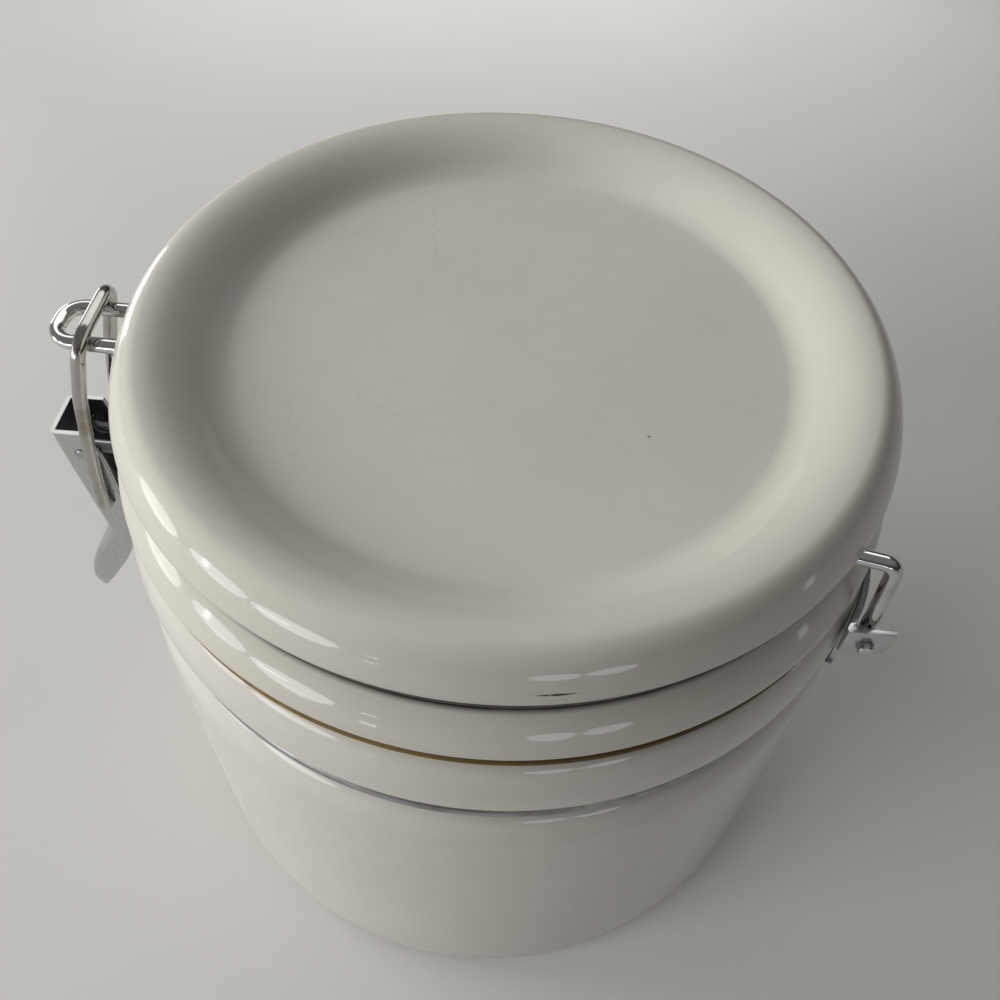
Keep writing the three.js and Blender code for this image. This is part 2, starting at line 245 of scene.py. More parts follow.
class Nodes:
    """A small writer for node trees."""

    def __init__(self, tree):
        self.t = tree

    def add(self, kind, **values):
        n = self.t.nodes.new(kind)
        for k, v in values.items():
            if hasattr(n, k):
                setattr(n, k, v)
            else:
                n.inputs[k].default_value = v
        return n

    def link(self, a, b):
        self.t.links.new(a, b)

    def math(self, op, a, b=0.0, c=None, clamp=False):
        n = self.t.nodes.new("ShaderNodeMath")
        n.operation, n.use_clamp = op, clamp
        for i, v in enumerate((a, b) if c is None else (a, b, c)):
            if isinstance(v, (int, float)):
                n.inputs[i].default_value = v
            else:
                self.link(v, n.inputs[i])
        return n.outputs[0]

    def step(self, value, lo, hi, to_lo=0.0, to_hi=1.0):
        n = self.t.nodes.new("ShaderNodeMapRange")
        n.interpolation_type = "SMOOTHSTEP"
        self.link(value, n.inputs["Value"])
        for k, v in (("From Min", lo), ("From Max", hi), ("To Min", to_lo), ("To Max", to_hi)):
            n.inputs[k].default_value = v
        return n.outputs["Result"]

    def mix(self, fac, a, b, blend="MIX"):
        n = self.t.nodes.new("ShaderNodeMix")
        n.data_type, n.blend_type = "RGBA", blend
        if isinstance(fac, (int, float)):
            n.inputs[0].default_value = fac
        else:
            self.link(fac, n.inputs[0])
        for i, v in ((6, a), (7, b)):
            if isinstance(v, (tuple, list)):
                n.inputs[i].default_value = (*v, 1.0) if len(v) == 3 else v
            else:
                self.link(v, n.inputs[i])
        return n.outputs[2]

    def noise(self, vec, scale, detail=3.0, rough=0.5, distortion=0.0):
        n = self.add("ShaderNodeTexNoise", Scale=scale, Detail=detail, Roughness=rough, Distortion=distortion)
        self.link(vec, n.inputs["Vector"])
        return n.outputs["Fac"]

    def voronoi(self, vec, scale, feature="F1"):
        n = self.t.nodes.new("ShaderNodeTexVoronoi")
        n.feature = feature
        n.inputs["Scale"].default_value = scale
        self.link(vec, n.inputs["Vector"])
        return n


def material(name):
    m = bpy.data.materials.new(name)
    m.use_nodes = True
    n = Nodes(m.node_tree)
    b = m.node_tree.nodes["Principled BSDF"]
    tc = n.add("ShaderNodeTexCoord")
    return m, n, b, tc.outputs["Object"]


def bump(n, b, height, strength, distance, before=None):
    k = n.add("ShaderNodeBump", Strength=strength, Distance=distance)
    n.link(height, k.inputs["Height"])
    if before is not None:
        n.link(before, k.inputs["Normal"])
    if b is not None:
        n.link(k.outputs["Normal"], b.inputs["Normal"])
    return k.outputs["Normal"]


def stretched(n, vec, scale):
    k = n.add("ShaderNodeMapping")
    k.inputs["Scale"].default_value = scale
    n.link(vec, k.inputs["Vector"])
    return k.outputs["Vector"]


def glaze(name, light, shade, grooves, seed, mark=None):
    """Glossy warm-white glaze on stoneware: pooled tint, pinholes, hairline crazing, dust and painted shade in the
    grooves.
    """
    m, n, b, vec = material(name)
    off = stretched(n, vec, (1, 1, 1))
    off.node.inputs["Location"].default_value = (seed, seed * 0.7, -seed)
    sep = n.add("ShaderNodeSeparateXYZ")
    n.link(vec, sep.inputs[0])
    x, y, z = sep.outputs
    r = n.math("SQRT", n.math("ADD", n.math("MULTIPLY", x, x), n.math("MULTIPLY", y, y)))

    broad = n.noise(off, 22.0, 3.0, 0.5)
    colour = n.mix(n.step(broad, 0.3, 0.7), light, shade)
    fine = n.noise(off, 260.0, 4.0, 0.6)
    colour = n.mix(n.step(fine, 0.35, 0.75, 0.0, 0.12), colour, tuple(c * 0.86 for c in shade))

    # hairline crazing in patches
    warp = n.add("ShaderNodeTexNoise", Scale=70.0, Detail=2.0)
    n.link(off, warp.inputs["Vector"])
    k = n.add("ShaderNodeMix", data_type="RGBA")
    k.inputs[0].default_value = 0.012
    n.link(off, k.inputs[6])
    n.link(warp.outputs["Color"], k.inputs[7])
    cell = n.voronoi(k.outputs[2], 135.0, "DISTANCE_TO_EDGE")
    line = n.step(cell.outputs["Distance"], 0.0, 0.010, 1.0, 0.0)
    patch = n.step(n.noise(off, 17.0, 2.0), 0.56, 0.70)
    craze = n.math("MULTIPLY", line, patch)
    colour = n.mix(n.math("MULTIPLY", craze, 0.13), colour, (0.34, 0.29, 0.21))

    # pinholes and iron specks
    spot = n.voronoi(off, 120.0)
    rare = n.add("ShaderNodeSeparateColor")
    n.link(spot.outputs["Color"], rare.inputs[0])
    few = n.step(rare.outputs[0], 0.955, 0.96)
    dot = n.math("MULTIPLY", n.step(spot.outputs["Distance"], 0.018, 0.040, 1.0, 0.0), few)
    colour = n.mix(n.math("MULTIPLY", dot, 0.8), colour, (0.07, 0.055, 0.04))

    # dust and painted shade in the grooves: the bands are darkened near black where they lie in shade
    groove_dust_and_shade = None
    for z0, z1, r0, r1, amount in grooves:
        band = n.math("MULTIPLY", n.step(z, z0 * MM, (z0 + 0.5) * MM), n.step(z, (z1 - 0.5) * MM, z1 * MM, 1.0, 0.0))
        band = n.math("MULTIPLY", band, n.step(r, (r1 - 0.9) * MM, r1 * MM, 1.0, 0.0))
        band = n.math("MULTIPLY", band, n.step(r, (r0 - 0.4) * MM, r0 * MM))
        band = n.math("MULTIPLY", band, amount)
        groove_dust_and_shade = band if groove_dust_and_shade is None else n.math("MAXIMUM", groove_dust_and_shade, band)
    if groove_dust_and_shade is not None:
        patchy = n.math("MULTIPLY", groove_dust_and_shade, n.step(n.noise(off, 90.0, 4.0, 0.6), 0.2, 0.6, 0.7, 1.0))
        colour = n.mix(patchy, colour, (0.022, 0.019, 0.015))
    if mark is not None:                                # a short dark kiln mark: z, half height, azimuth, half width
        z0, hz, a0, ha = mark
        dz = n.math("ABSOLUTE", n.math("SUBTRACT", z, z0 * MM))
        da = n.math("ABSOLUTE", n.math("SUBTRACT", n.math("ARCTAN2", y, x), math.radians(a0)))
        taper = n.step(da, 0.0, math.radians(ha), hz * MM, 0.0)
        inside = n.step(n.math("SUBTRACT", taper, dz), 0.0, 0.00006)
        inside = n.math("MULTIPLY", inside, n.step(n.noise(off, 900.0, 3.0, 0.6), 0.35, 0.5, 0.55, 1.0))
        inside = n.math("MULTIPLY", inside, n.step(r, 56.5 * MM, 57.0 * MM))
        colour = n.mix(inside, colour, (0.018, 0.016, 0.014))
    n.link(colour, b.inputs["Base Color"])

    b.inputs["IOR"].default_value = 1.52
    rub = n.noise(off, 34.0, 4.0, 0.62)
    rough = n.step(rub, 0.42, 0.72, 0.055, 0.13)
    rough = n.math("ADD", rough, n.math("MULTIPLY", craze, 0.12))
    if groove_dust_and_shade is not None:
        rough = n.math("ADD", rough, n.math("MULTIPLY", groove_dust_and_shade, 0.4))
    n.link(rough, b.inputs["Roughness"])

    wavy = bump(n, None, n.noise(off, 42.0, 1.0, 0.4), 1.0, 0.00016)
    peel = bump(n, None, n.noise(off, 420.0, 2.0, 0.5), 1.0, 0.000004, wavy)
    bump(n, b, n.math("MULTIPLY", n.math("MAXIMUM", dot, craze), -1.0), 1.0, 0.00002, peel)
    return m


def plated(name, tone, dull, dull_tone, rough, seed, along="z", amount=0.5, groove_dirt_and_shade_r=None):
    """Bright plated wire: fine grain and pits, dulled and stained in patches."""
    m, n, b, vec = material(name)
    off = stretched(n, vec, (1, 1, 1))
    off.node.inputs["Location"].default_value = (seed, -seed, seed * 0.3)
    b.inputs["Metallic"].default_value = 1.0
    patch = n.noise(off, 95.0, 4.0, 0.62)
    mask = n.math("MULTIPLY", n.step(patch, dull, dull + 0.16), amount)
    fine = n.step(n.noise(off, 900.0, 3.0, 0.6), 0.35, 0.8, 0.0, 0.35)
    colour = n.mix(n.math("MULTIPLY", fine, 0.5), tone, tuple(c * 0.72 for c in tone))
    colour = n.mix(mask, colour, dull_tone)
    if groove_dirt_and_shade_r is not None:                              # painted shade, partly dirt: blackened near black where it lies in the groove
        sep = n.add("ShaderNodeSeparateXYZ")
        n.link(vec, sep.inputs[0])
        x, y, z = sep.outputs
        r = n.math("SQRT", n.math("ADD", n.math("MULTIPLY", x, x), n.math("MULTIPLY", y, y)))
        colour = n.mix(n.step(r, (groove_dirt_and_shade_r - 0.1) * MM, (groove_dirt_and_shade_r + 0.3) * MM, 0.93, 0.0), colour, (0.02, 0.019, 0.017))
    n.link(colour, b.inputs["Base Color"])
    rr = n.step(patch, dull - 0.1, dull + 0.2, rough, rough + 0.16)
    n.link(n.math("ADD", rr, n.math("MULTIPLY", fine, 0.08)), b.inputs["Roughness"])
    grain = n.noise(off, 1300.0, 3.0, 0.6)
    pits = n.voronoi(off, 700.0)
    dent = n.step(pits.outputs["Distance"], 0.05, 0.3)
    first = bump(n, None, grain, 0.5, 0.000008)
    bump(n, b, dent, 0.35, 0.000012, first)
    return m


def pressed(name, tone, seed, grain_scale, worn, inside=False):
    """Satin pressed sheet: fine rolling grain, scuffs, and darker rubbed spots."""
    m, n, b, vec = material(name)
    off = stretched(n, vec, grain_scale)
    off.node.inputs["Location"].default_value = (seed, seed, seed)
    b.inputs["Metallic"].default_value = 1.0
    grain = n.noise(off, 1.0, 4.0, 0.65)
    blotch = n.noise(vec, 130.0, 3.0, 0.55)
    colour = n.mix(n.step(grain, 0.3, 0.75, 0.0, 0.22), tone, tuple(c * 0.86 for c in tone))
    colour = n.mix(n.step(blotch, worn, worn + 0.2, 0.0, 0.2), colour, tuple(c * 0.66 for c in tone))
    rough = n.math("ADD", n.step(grain, 0.3, 0.8, 0.25, 0.30), n.step(blotch, 0.45, 0.75, 0.0, 0.06))
    if inside:                                         # painted shade, partly dirt: inner faces of the channel darkened near black and dulled
        sep = n.add("ShaderNodeSeparateXYZ")
        n.link(vec, sep.inputs[0])
        x, y, z = sep.outputs
        web = n.math("ADD", n.math("MULTIPLY", z, 0.1026), 0.0700826)
        deep = n.step(n.math("ADD", x, web), 0.00072, 0.00088)
        between = n.step(n.math("ABSOLUTE", y), 0.00382, 0.00388, 1.0, 0.0)
        inner_shade_and_dirt = n.math("MULTIPLY", n.math("MULTIPLY", deep, between), n.step(blotch, 0.2, 0.7, 0.97, 0.82))
        colour = n.mix(inner_shade_and_dirt, colour, (0.045, 0.045, 0.043))
        rough = n.math("ADD", rough, n.math("MULTIPLY", inner_shade_and_dirt, 0.22))
    n.link(colour, b.inputs["Base Color"])
    n.link(rough, b.inputs["Roughness"])
    scratch = n.noise(stretched(n, vec, (2600, 2600, 120)), 1.0, 2.0, 0.7)
    first = bump(n, None, grain, 0.3, 0.000004)
    bump(n, b, scratch, 0.2, 0.000002, first)
    return m


def amber_rubber(name):
    """Old amber rubber: translucent-looking honey to dark brown, dusty, with a chalky bloom."""
    m, n, b, vec = material(name)
    big = n.noise(vec, 38.0, 4.0, 0.6)
    colour = n.mix(n.step(big, 0.38, 0.66), (0.10, 0.056, 0.012), (0.28, 0.155, 0.024))
    small = n.noise(vec, 520.0, 4.0, 0.65)
    colour = n.mix(n.step(small, 0.45, 0.75, 0.0, 0.5), colour, (0.075, 0.045, 0.014))
    olive = n.step(n.noise(stretched(n, vec, (1, 1, 1)), 23.0, 2.0), 0.5, 0.62, 0.0, 0.5)
    colour = n.mix(olive, colour, (0.16, 0.125, 0.035))
    n.link(colour, b.inputs["Base Color"])
    n.link(n.step(small, 0.3, 0.8, 0.38, 0.66), b.inputs["Roughness"])
    b.inputs["Specular IOR Level"].default_value = 0.35
    first = bump(n, None, small, 0.6, 0.00005)
    bump(n, b, n.noise(vec, 1700.0, 2.0, 0.5), 0.4, 0.00001, first)
    return m


# ------------------------------------------------------------------ ceramic pieces

def out_of_round(depth, phase):
    """Slip-cast ware is never quite round: a little is taken off, never added."""
    def f(r, z, a):
        k = depth * (0.5 + 0.3 * math.sin(2 * a + phase) + 0.2 * math.sin(3 * a + 2.1 * phase))
        return r - k * min(1.0, r / 40.0), z
    return f


# the groove lists are bands of dust and painted shade: z0, z1, r0, r1, amount
jar_glaze = glaze("jar_glaze", (0.73, 0.71, 0.665), (0.69, 0.668, 0.615), [(77.2, 80.8, 58.0, 59.4, 0.45), (91.5, 95.2, 57.2, 58.6, 0.3)], 0.31)
lid_glaze = glaze("lid_glaze", (0.70, 0.677, 0.625), (0.665, 0.638, 0.58), [(102.6, 108.3, 54.7, 57.6, 1.0)], 1.47, (111.3, 0.19, -79.0, 3.7))

wall = [(62.5, 7 + 60.5 * i / 22) for i in range(23)]
jar_outer = chain(
    [(0, 1.1), (24, 1.1), (48.5, 1.1)],
    spline([(48.5, 1.1), (50.2, 0.95), (51.0, 0.35), (52.0, 0.0)], 5),
    [(52.0, 0.0), (57.0, 0.0)],
    spline([(57.0, 0.0), (58.7, 0.22), (60.2, 0.9), (61.4, 2.15), (62.15, 4.1), (62.5, 7.0)], 6),
    wall,
    spline([(62.5, 67.5), (62.4, 70.3), (62.1, 72.4), (61.5, 74.2), (60.6, 75.7), (59.4, 76.85), (58.6, 77.35),
            (58.25, 78.1), (58.2, 79.1), (58.25, 80.0), (58.9, 80.55), (60.2, 80.9), (61.2, 81.7), (61.72, 83.1),
            (61.9, 85.4), (61.85, 87.4), (61.5, 89.6), (60.8, 91.7), (59.6, 93.4), (58.0, 94.3), (56.4, 94.5)], 8),
    [(56.4, 94.5), (53.0, 94.5)],
    spline([(53.0, 94.5), (51.9, 94.2), (51.2, 93.4), (51.0, 92.2)], 6),
    [(51.0, 92.2), (51.0, 84.0)],
    spline([(51.0, 84.0), (51.3, 82.0), (52.4, 79.4), (55.2, 74.5), (56.8, 69.9), (57.4, 65.0), (57.5, 60.0)], 8),
    [(57.5, 60.0), (57.5, 38.0), (57.5, 15.5)],
    spline([(57.5, 15.5), (57.1, 12.4), (55.9, 9.8), (53.4, 7.7), (49.6, 6.5), (45.0, 6.1), (38.0, 6.0)], 7),
    [(38.0, 6.0), (19.0, 6.0), (0, 6.0)],
)
v, f = lathe(jar_outer, 288, out_of_round(0.10, 0.6))
make("jar_body", v, f, "jar", "jar", jar_glaze)

seal = chain(
    [(52.5, 94.8), (59.1, 94.8)],
    spline([(59.1, 94.8), (59.9, 94.86), (60.45, 95.15), (60.6, 95.6), (60.45, 96.05), (59.9, 96.34), (59.1, 96.4)], 5),
    [(59.1, 96.4), (52.7, 96.4)],
    [(52.7, 96.4), (52.5, 96.2), (52.5, 94.8)],
)


def seal_wave(r, z, a):
    k = 0.5 + 0.5 * math.sin(5 * a + 1.0) * math.sin(2 * a + 0.4)
    out = max(0.0, (r - 58.0) / 2.2)
    return r - out * (0.04 + 0.16 * k), z


v, f = lathe(seal, 288, seal_wave)
make("seal_ring", v, f, "lid", "gasket", amber_rubber("seal_rubber"), 50)

CREST_R, CREST_Z, DOME_A, DOME_B, DISC_R, DISC_Z = 54.0, 116.4, 5.6, 11.3, 42.0, 110.6
crown = [(CREST_R + DOME_A * math.cos(math.radians(a)), CREST_Z - DOME_B + DOME_B * math.sin(math.radians(a)))
         for a in [25 + 65 * i / 34 for i in range(35)]]
slope = [(DISC_R + (CREST_R - DISC_R) * t, DISC_Z + (CREST_Z - DISC_Z) * (1 - (1 - t) ** 2 / 0.65 if t > 0.35 else t * t / 0.35))
         for t in [1 - i / 34 for i in range(35)]]
lid_outer = chain(
    [(0, 104.2), (20, 104.15)],
    spline([(20, 104.15), (33.0, 103.95), (37.5, 102.9), (40.0, 100.6), (41.2, 97.5), (41.55, 94.0), (41.9, 92.7), (42.6, 92.2)], 7),
    [(42.6, 92.2), (45.0, 92.2)],
    spline([(45.0, 92.2), (45.8, 92.5), (46.2, 93.2), (46.4, 95.0), (46.45, 96.1), (47.0, 96.7)], 5),
    [(47.0, 96.7), (58.8, 96.7)],
    spline([(58.8, 96.7), (59.6, 96.76), (60.3, 97.02), (60.68, 97.5), (60.8, 98.1), (60.5, 99.3), (59.9, 100.5), (59.1, 101.8),
            (58.3, 102.8), (57.5, 103.6), (56.95, 104.02), (56.45, 104.05), (56.05, 103.6), (55.5, 103.2), (55.0, 103.45),
            (54.85, 104.2)], 7),
    [(54.85, 104.2), (54.85, 107.2)],
    spline([(54.85, 107.2), (55.1, 107.65), (55.8, 107.85), (57.3, 107.92), (58.1, 108.2), (58.6, 108.62), (58.85, 109.2),
            (58.92, 109.7), crown[0]], 7),
    crown, slope,
    [(42.0, 110.6), (40.0, 110.6), (34.0, 110.6), (24.0, 110.6), (12.0, 110.6), (0, 110.6)],
)
v, f = lathe(lid_outer, 288, out_of_round(0.08, 2.2))
make("lid_body", v, f, "lid", "lid", lid_glaze)

# ------------------------------------------------------------------ wires

LIDWIRE_Z, LIDWIRE_R, NECK_Z, NECKWIRE_R = 106.25, 56.4, 79.0, 59.8
# inside r 57.7 the lid wire gets painted shade and dirt, near black, where it lies in the groove
chrome = plated("wire_chrome", (0.64, 0.64, 0.63), 0.60, (0.20, 0.17, 0.12), 0.09, 0.2, amount=0.45, groove_dirt_and_shade_r=57.7)
chrome_dull = plated("bail_wire", (0.43, 0.42, 0.40), 0.50, (0.18, 0.145, 0.085), 0.13, 0.9, amount=0.55)


def on_ring(r, deg, z):
    return [r * math.cos(math.radians(deg)), r * math.sin(math.radians(deg)), z]


half = bend([[57.0, -33.5, 88.6], [57.0, -30.1, 88.6, 1.5], [57.0, -30.1, 93.5, 16], [56.0, -30.1, LIDWIRE_Z, 2.2],
             [49.6, -29.0, LIDWIRE_Z, 3.0], on_ring(LIDWIRE_R, -35, LIDWIRE_Z)])
half += ring(LIDWIRE_R, LIDWIRE_Z, -36, -170)
reach = math.sqrt(LIDWIRE_R ** 2 - 4.1 ** 2)
half += bend([on_ring(LIDWIRE_R, -172, LIDWIRE_Z), [-reach - 0.1, -4.1, LIDWIRE_Z, 2.4],
              [-71.3, -4.1, LIDWIRE_Z, 3.4], [-71.3, 0, LIDWIRE_Z]])
path = half + [Vector((p.x, -p.y, p.z)) for p in reversed(half[:-1])]
v, f = sweep(path, 1.2)
metal_objects = [make("lid_wire_round", v, f, "lid", "lid_wire", chrome)]


def neck_end(s):
    return bend([[NECKWIRE_R * math.cos(math.radians(171)), s * NECKWIRE_R * math.sin(math.radians(171)), NECK_Z],
                 [-59.85, s * 2.3, NECK_Z, 2.4], [-74.1, s * 2.3, NECK_Z, 1.35], [-74.1, s * 5.0, NECK_Z]])


path = list(reversed(neck_end(-1))) + ring(NECKWIRE_R, NECK_Z, -168, 168) + neck_end(1)
v, f = sweep(path, 1.2)
chrome_grey = plated("neck_wire_grey", (0.40, 0.41, 0.42), 0.46, (0.22, 0.20, 0.17), 0.30, 1.7, amount=0.6)
metal_objects.append(make("neck_wire_round", v, f, "jar", "neck_wire", chrome_grey))


def bail_leg(s):
    return [[-72.9, s * 5.0, 66.4], [-72.9, s * 6.7, 66.4, 1.4], [-72.1, s * 6.7, 75.0, 12], [-70.3, s * 6.95, 86.4, 14],
            [-68.3, s * 7.2, 97.0, 14], [-65.0, s * 7.2, 109.2, 3.9]]


v, f = sweep(bend(bail_leg(-1) + list(reversed(bail_leg(1)))), 1.15)
metal_objects.append(make("bail_round", v, f, "bail", "bail", chrome_dull))

# ------------------------------------------------------------------ lever: pressed channel with a flared thumb tab

HALF, T = 4.7, 0.9


def channel_section(depth, half, lip):
    """Half of the closed outline of a pressed U: [y, n], n is the depth in from the web's outer face."""
    rc = min(1.3, depth * 0.45, half * 0.6)           # outside bend
    ri = max(rc - T, 0.12)
    e = min(0.24, T * 0.3)
    out = [(0.0, 0.0), (half * 0.5, 0.0)]
    out += [(half - rc + rc * math.sin(a), rc - rc * math.cos(a)) for a in [math.pi / 2 * k / 5 for k in range(6)]]
    if depth > rc + e:
        out += [(half, rc + (depth - e - rc) * k / 3) for k in range(1, 4)]
    else:
        out += [(half, depth - e * 0.5)] * 3
    out += [(half - e * 0.3, depth - e * 0.3), (half - e, depth), (half - T + e, depth), (half - T + e * 0.3, depth - e * 0.3)]
    inner_top = max(depth - e, T + ri)
    out += [(half - T, max(depth - e, T * 0.5))]
    out += [(half - T, T + ri + (inner_top - T - ri) * k / 3) for k in (2, 1, 0)]
    out += [(half - T - ri + ri * math.cos(a), T + ri - ri * math.sin(a)) for a in [math.pi / 2 * k / 5 for k in range(1, 6)]]
    out += [((half - T) * 0.5, T), (0.0, T)]
    return out


LEVER = [  # web outer face, open edge, half width
    ((-78.70, 84.0), (-72.00, 84.3), HALF), ((-78.35, 80.0), (-71.25, 80.3), HALF), ((-77.90, 75.0), (-70.65, 75.2), HALF),
    ((-77.40, 70.3), (-70.52, 70.3), HALF), ((-76.90, 65.5), (-70.52, 65.5), HALF), ((-76.33, 60.5), (-70.85, 60.0), HALF),
    ((-75.90, 56.7), (-71.25, 55.7), HALF), ((-76.25, 54.6), (-71.70, 53.2), HALF), ((-77.35, 52.5), (-72.55, 50.4), HALF),
    ((-79.00, 50.0), (-74.00, 47.3), HALF), ((-81.00, 46.9), (-76.45, 43.2), HALF), ((-82.60, 43.6), (-79.30, 38.7), HALF - 0.15),
    ((-83.75, 40.5), (-81.40, 35.6), HALF - 0.4), ((-84.45, 38.0), (-82.55, 34.0), HALF - 0.8),
]


def lever_mesh():
    W = spline([w for w, e, h in LEVER], 4)
    E = spline([e for w, e, h in LEVER], 4)
    H = [p[0] for p in spline([(h, float(i)) for i, (w, e, h) in enumerate(LEVER)], 4)]
    # the tab ends in a rounded tip
    tip_w, tip_e = Vector((-85.05, 33.6)), Vector((-83.5, 32.4))
    w1, e1, h1 = Vector(W[-1]), Vector(E[-1]), H[-1]
    for k in range(1, 9):
        t = math.sin(math.pi / 2 * k / 8)
        W.append(tuple(w1.lerp(tip_w, t)))
        E.append(tuple(e1.lerp(tip_e, t)))
        H.append(max(h1 * math.sqrt(max(1 - t * t, 0.0)), 0.95))
    verts, faces = [], []
    rows = 0
    for w, e, h in zip(W, E, H):
        w, e = Vector(w), Vector(e)
        n = (e - w).normalized()
        depth = max((e - w).length, T)
        half_out = channel_section(depth, h, 0)
        loop = half_out + [(-y, d) for y, d in reversed(half_out[1:-1])]
        m = len(loop)
        for y, d in loop:
            p = w + n * d
            verts.append((p.x, y, p.y))
        rows += 1
    for i in range(rows - 1):
        for k in range(m):
            k2 = (k + 1) % m
            faces.append((i * m + k, i * m + k2, (i + 1) * m + k2, (i + 1) * m + k))
    return verts, faces, m, rows


def close_ends(verts, faces, m, rows):
    """Caps a channel between matching outside and inside points."""
    h = m // 2
    n_half = h + 1
    for base, flip in ((0, False), ((rows - 1) * m, True)):
        # walk from web centre to the open edge, outside and inside together
        def at(i, side):
            return base + (i if side > 0 else (m - i) % m)
        for side in (1, -1):
            lo, hi = 0, n_half - 1
            while hi - lo > 1:
                q = [at(lo, side), at(lo + 1, side), at(hi - 1, side), at(hi, side)]
                q = list(dict.fromkeys(q))
                if (side > 0) != flip:
                    q.reverse()
                if len(q) > 2:
                    faces.append(tuple(q))
                lo += 1
                hi -= 1
    return verts, faces


v, f, m, rows = lever_mesh()
v, f = close_ends(v, f, m, rows)
# inside=True gives the channel's inner faces painted shade and dirt
lever_steel = pressed("lever_steel", (0.52, 0.53, 0.53), 0.4, (1500, 1500, 160), 0.56, inside=True)
lever = make("lever_channel", v, f, "lever", "lever", lever_steel, 32)
metal_objects.append(lever)


def cut_hole(obj, x, z, r, y0=-8.0, y1=8.0):
    """A round hole along Y, cut for good."""
    verts, faces = [], []
    n = 32
    for y in (y0, y1):
        for k in range(n):
            a = 2 * math.pi * (k + 0.5) / n
            verts.append(((x + r * math.cos(a)) * MM, y * MM, (z + r * math.sin(a)) * MM))
    for k in range(n):
        k2 = (k + 1) % n
        faces.append((k, n + k, n + k2, k2))
    faces.append(tuple(range(n)))
    faces.append(tuple(reversed(range(n, 2 * n))))
    me = bpy.data.meshes.new("cutter")
    me.from_pydata(verts, [], faces)
    cutter = bpy.data.objects.new("cutter", me)
    bpy.context.scene.collection.objects.link(cutter)
    mod = obj.modifiers.new("hole", "BOOLEAN")
    mod.operation, mod.solver, mod.object = "DIFFERENCE", "EXACT", cutter
    dg = bpy.context.evaluated_depsgraph_get()
    new = bpy.data.meshes.new_from_object(obj.evaluated_get(dg))
    obj.modifiers.clear()
    old = obj.data
    obj.data = new
    bpy.data.meshes.remove(old)
    bpy.data.objects.remove(cutter)
    bpy.data.meshes.remove(me)
    for p in obj.data.polygons:
        p.use_smooth = True


def recalc(obj, sharp):
    import bmesh
    bm = bmesh.new()
    bm.from_mesh(obj.data)
    bmesh.ops.remove_doubles(bm, verts=bm.verts, dist=1e-7)
    bmesh.ops.recalc_face_normals(bm, faces=bm.faces)
    bm.to_mesh(obj.data)
    bm.free()
    for p in obj.data.polygons:
        p.use_smooth = True
    obj.data.set_sharp_from_angle(angle=math.radians(sharp))


recalc(lever, 32)
cut_hole(lever, -74.1, 79.0, 1.32)
cut_hole(lever, -72.9, 66.4, 1.30)
recalc(lever, 32)

# ------------------------------------------------------------------ hinge plate: the node's own shape with eased edges

import bmesh


def eased(name, node, body, mat_, width, segments=2):
    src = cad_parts[node]
    bm = bmesh.new()
    bm.from_mesh(src.data)
    bmesh.ops.remove_doubles(bm, verts=bm.verts, dist=2e-6)
    bmesh.ops.dissolve_limit(bm, angle_limit=math.radians(0.8), verts=bm.verts, edges=bm.edges)
    edges = [e for e in bm.edges if len(e.link_faces) == 2 and e.calc_face_angle(0) > math.radians(35)]
    bmesh.ops.bevel(bm, geom=edges, offset=width * MM, segments=segments, profile=0.5, affect="EDGES", clamp_overlap=True)
    bmesh.ops.recalc_face_normals(bm, faces=bm.faces)
    me = bpy.data.meshes.new(name)
    bm.to_mesh(me)
    bm.free()
    for p in me.polygons:
        p.use_smooth = True
    me.set_sharp_from_angle(angle=math.radians(28))
    o = bpy.data.objects.new(name, me)
    bpy.context.scene.collection.objects.link(o)
    me.materials.append(mat_)
    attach(o, body)
    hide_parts(node)
    return o


plate_steel = pressed("plate_steel", (0.56, 0.57, 0.58), 1.4, (1500, 160, 1500), 0.55)
metal_objects.append(eased("hinge_plate_pressed", "hinge_plate", "jar", plate_steel, 0.13))

# ------------------------------------------------------------------ floor and light

m, n, b, vec = material("floor_matte")
soft = n.noise(vec, 9.0, 3.0, 0.5)
tooth = n.noise(vec, 700.0, 3.0, 0.6)
n.link(n.mix(n.step(soft, 0.3, 0.7), (0.785, 0.78, 0.765), (0.815, 0.81, 0.797)), b.inputs["Base Color"])
n.link(n.step(tooth, 0.3, 0.7, 0.55, 0.68), b.inputs["Roughness"])
b.inputs["Specular IOR Level"].default_value = 0.3
bump(n, b, tooth, 0.2, 0.00003)
me = bpy.data.meshes.new("floor")
me.from_pydata([(-3, -3, -0.0001), (3, -3, -0.0001), (3, 3, -0.0001), (-3, 3, -0.0001)], [], [(0, 1, 2, 3)])
me.materials.append(m)
floor = bpy.data.objects.new("floor", me)
bpy.context.scene.collection.objects.link(floor)


def area(name, az, el, dist, w, h, radiance, colour=(1, 1, 1), glossy=True, diffuse=True, aim=(0, 0, 0.107), shape="RECTANGLE"):
    """A soft light seen from the jar at this azimuth and elevation; radiance in units of a white wall."""
    a, e = math.radians(az), math.radians(el)
    d = Vector((math.cos(e) * math.cos(a), math.cos(e) * math.sin(a), math.sin(e)))
    L = bpy.data.lights.new(name, "AREA")
    L.shape, L.size, L.size_y = shape, w, h
    L.energy = radiance * math.pi * w * h
    L.color = colour
    o = bpy.data.objects.new(name, L)
    bpy.context.scene.collection.objects.link(o)
    o.location = Vector(aim) + d * dist
    o.rotation_euler = d.to_track_quat("Z", "Y").to_euler()
    o.visible_camera = False
    o.visible_glossy = glossy
    o.visible_diffuse = diffuse
    return o


